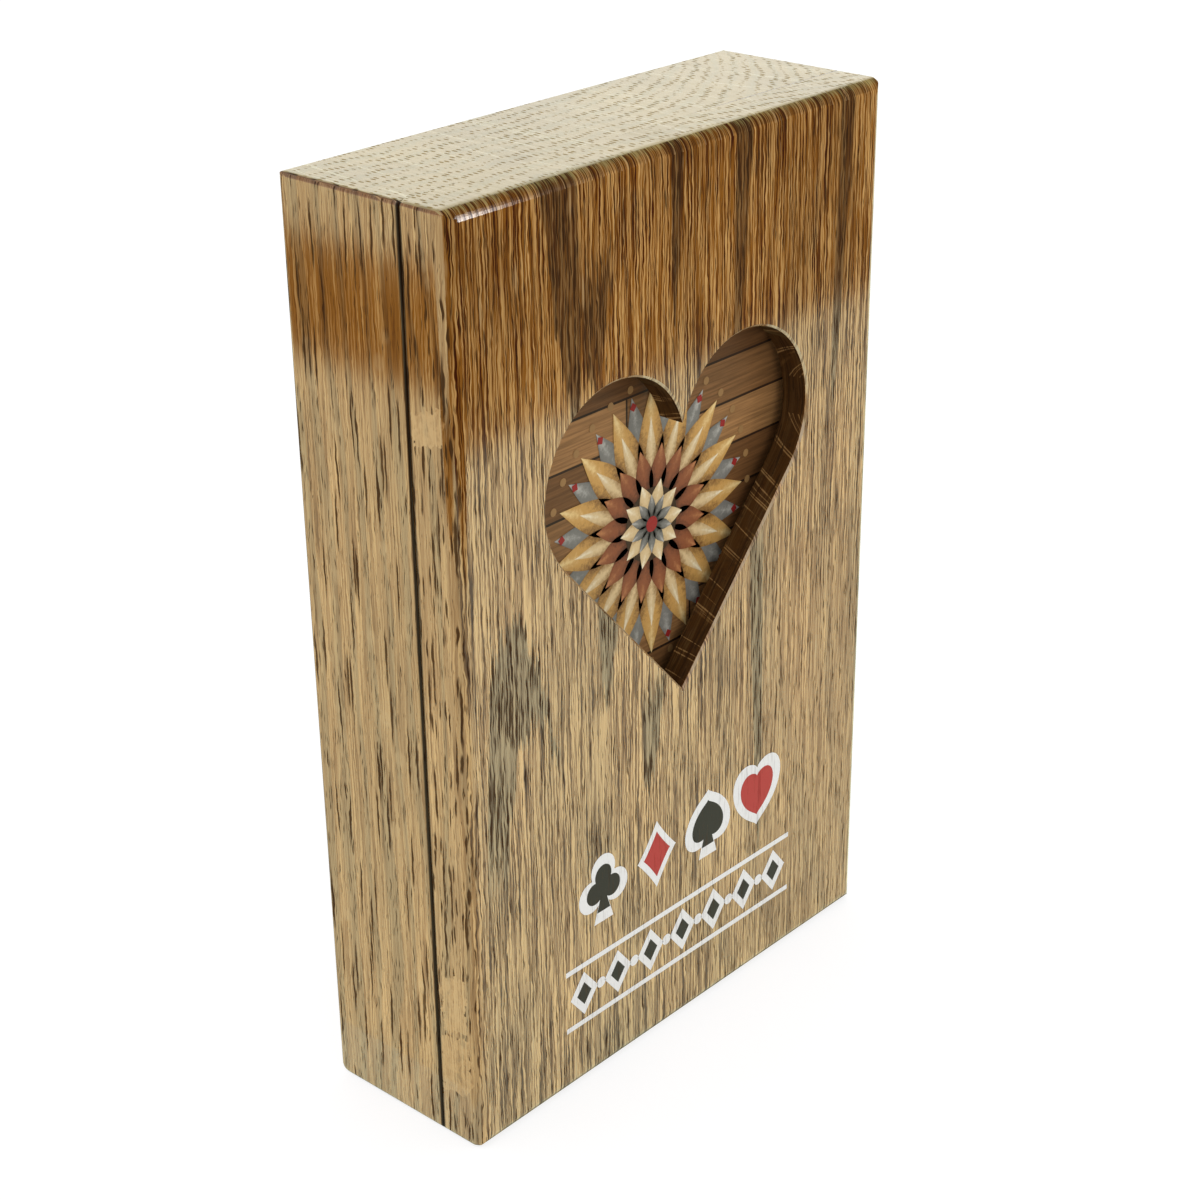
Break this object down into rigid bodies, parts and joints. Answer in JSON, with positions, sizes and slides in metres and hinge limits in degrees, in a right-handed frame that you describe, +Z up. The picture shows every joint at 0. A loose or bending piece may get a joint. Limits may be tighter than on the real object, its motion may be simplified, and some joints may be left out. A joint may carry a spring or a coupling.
{
  "type": "playing card display box",
  "caption": "Upright two-part oak box that shows off a deck of playing cards: the front lid, held by hidden magnets, lifts off, and a heart cut through it shows the carton inside.",
  "frame": {"origin": "on the surface the box stands on, under the middle of the closed box", "axes": "+Z up along the box's height, +Y to the back, +X to the right as seen from the front; the lid with the heart faces -Y"},
  "size_m": [0.0834, 0.028, 0.1301],
  "materials": {
    "oak": "clear lacquer over a brown stain",
    "nickel": "bright nickel plate",
    "printed_board": "printed, satin",
    "card_stock": "smooth card"
  },
  "bodies": {
    "case": {"rear_case": "oak", "case_magnet_bottom_left": "nickel", "case_magnet_bottom_right": "nickel", "case_magnet_top_left": "nickel", "case_magnet_top_right": "nickel"},
    "deck": {"tuck_carton": "printed_board", "tuck_flap": "printed_board", "dust_flap_left": "printed_board", "dust_flap_right": "printed_board", "spade_cards": "card_stock", "heart_cards": "card_stock", "diamond_cards": "card_stock", "club_cards": "card_stock", "joker_cards": "card_stock"},
    "lid": {"front_lid": "oak", "lid_magnet_bottom_left": "nickel", "lid_magnet_bottom_right": "nickel", "lid_magnet_top_left": "nickel", "lid_magnet_top_right": "nickel"}
  },
  "joints": [
    {"name": "deck_slide", "type": "slide", "parent": "case", "child": "deck", "axis": [0, -1, 0], "range_m": [0, 0.02]},
    {"name": "lid_slide", "type": "slide", "parent": "deck", "child": "lid", "axis": [0, -1, 0], "range_m": [0, 0.05]}
  ]
}
